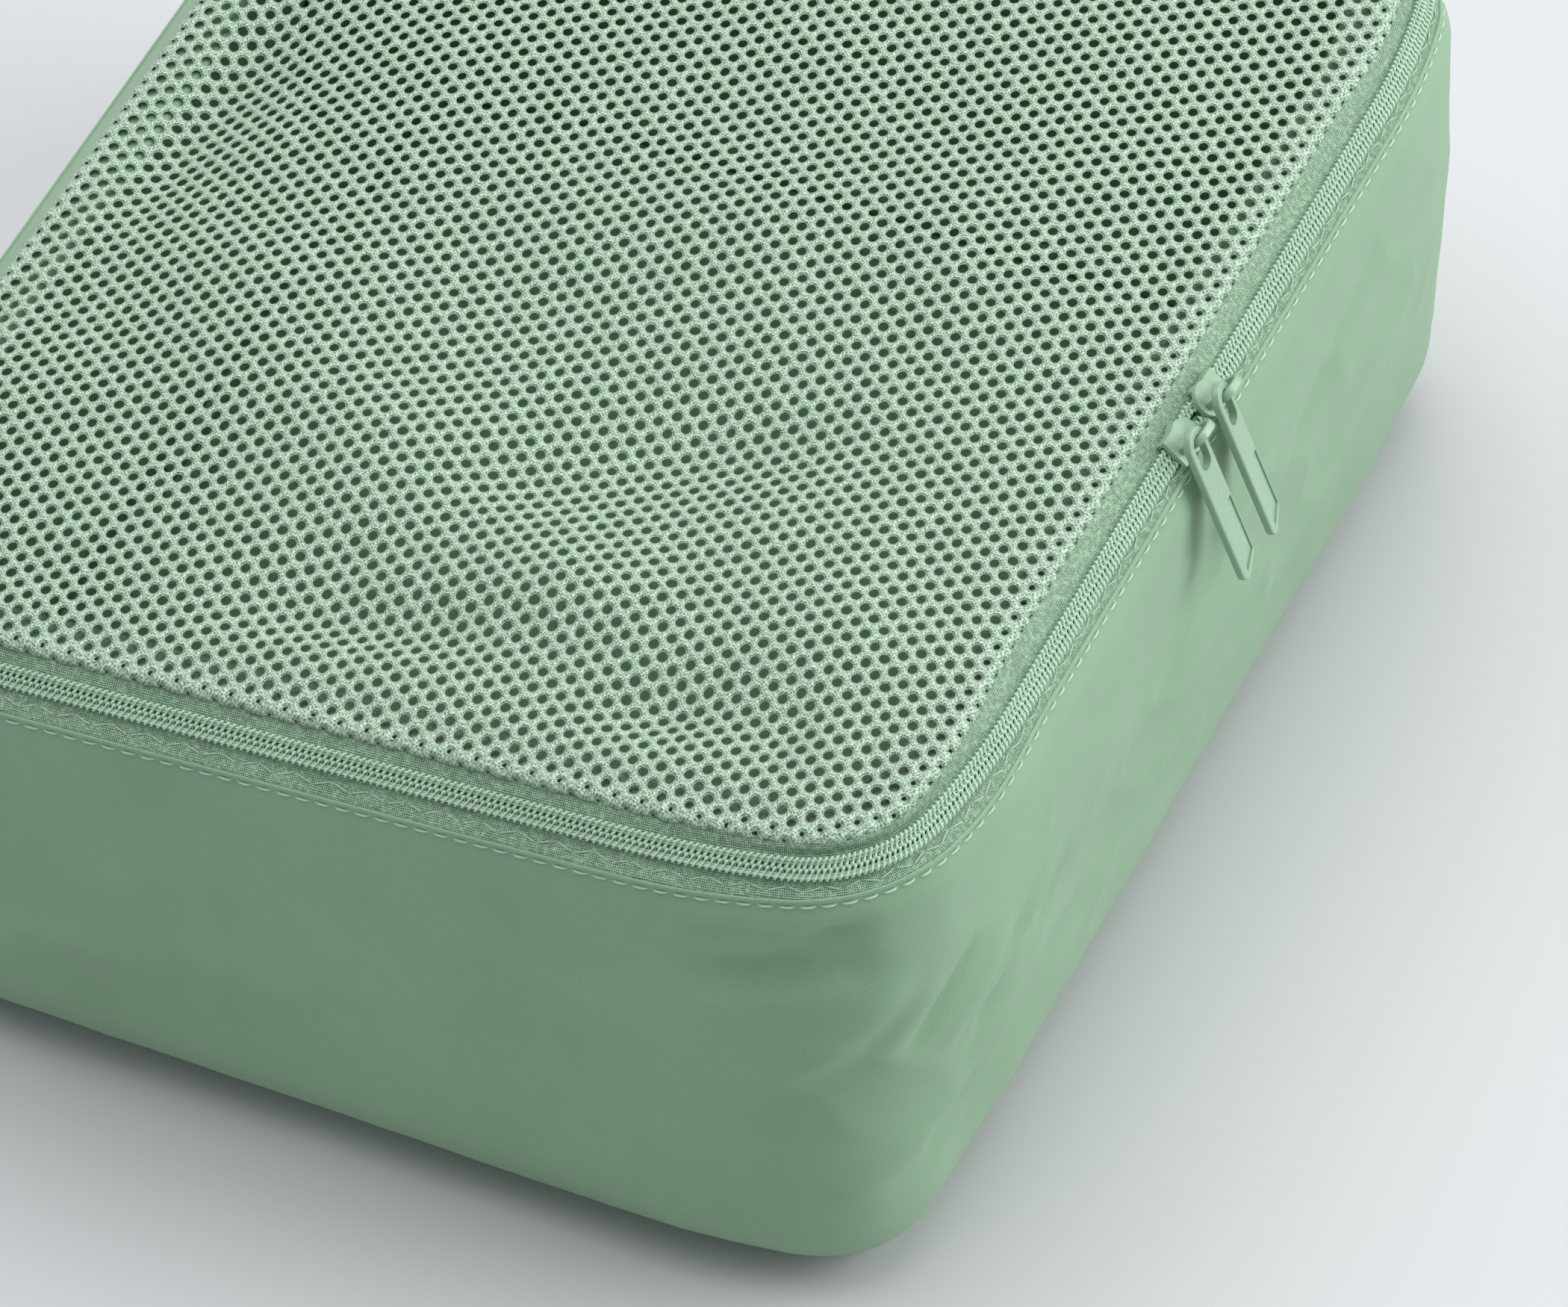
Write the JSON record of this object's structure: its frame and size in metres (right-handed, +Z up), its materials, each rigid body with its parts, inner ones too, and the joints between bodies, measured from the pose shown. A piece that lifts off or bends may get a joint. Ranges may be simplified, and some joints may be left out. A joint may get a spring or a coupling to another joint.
{
  "type": "packing cube",
  "caption": "Soft zipped packing cube with a see-through mesh lid hinged on one long side, closed by two zipper sliders with pull tabs.",
  "frame": {"origin": "centre of the underside, on the surface the cube rests on", "axes": "+X to the right along the front, +Y to the back along the long zipped side, +Z up"},
  "size_m": [0.2271, 0.262, 0.1093],
  "materials": {
    "wall_nylon": "fine plain-weave nylon, satin",
    "mesh": "open warp-knit mesh",
    "zipper_tape": "coarse woven tape",
    "coil": "moulded nylon monofilament",
    "binding": "woven binding tape",
    "painted_metal": "satin paint on die-cast metal"
  },
  "bodies": {
    "case": {"bottom_panel": "wall_nylon", "bottom_seam_binding": "binding", "wall_band": "wall_nylon", "hinge_panel": "wall_nylon", "side_seam_bindings": "binding", "hinge_seam_binding": "binding", "lower_zipper_tape": "zipper_tape", "lower_coil": "coil"},
    "lid": {"lid_mesh_panel": "mesh", "lid_seam_binding": "binding", "upper_zipper_tape": "zipper_tape", "upper_coil": "coil", "hinge_gusset": "wall_nylon", "zipper_end_tabs": "binding"},
    "slider_front": {"slider_body_front": "painted_metal", "slider_bridge_front": "painted_metal"},
    "slider_back": {"slider_body_back": "painted_metal", "slider_bridge_back": "painted_metal"},
    "pull_front": {"pull_tab_front": "painted_metal"},
    "pull_back": {"pull_tab_back": "painted_metal"}
  },
  "joints": [
    {"name": "lid_hinge", "type": "hinge", "parent": "case", "child": "lid", "pos_m": [-0.109, 0, 0.079], "axis": [0, -1, 0], "range_deg": [0, 180], "deforming": ["upper_zipper_tape", "upper_coil"]},
    {"name": "slider_front_slide", "type": "slide", "parent": "case", "child": "slider_front", "axis": [0, -1, 0], "range_m": [0, 0.06]},
    {"name": "slider_back_slide", "type": "slide", "parent": "case", "child": "slider_back", "axis": [0, 1, 0], "range_m": [0, 0.07]},
    {"name": "pull_front_swing", "type": "hinge", "parent": "slider_front", "child": "pull_front", "pos_m": [0.10718, -0.01195, 0.10632], "axis": [0.9397, 0, 0.342], "range_deg": [-100, 3]},
    {"name": "pull_back_swing", "type": "hinge", "parent": "slider_back", "child": "pull_back", "pos_m": [0.10718, -0.00025, 0.10632], "axis": [0.9397, 0, 0.342], "range_deg": [-3, 25]}
  ]
}
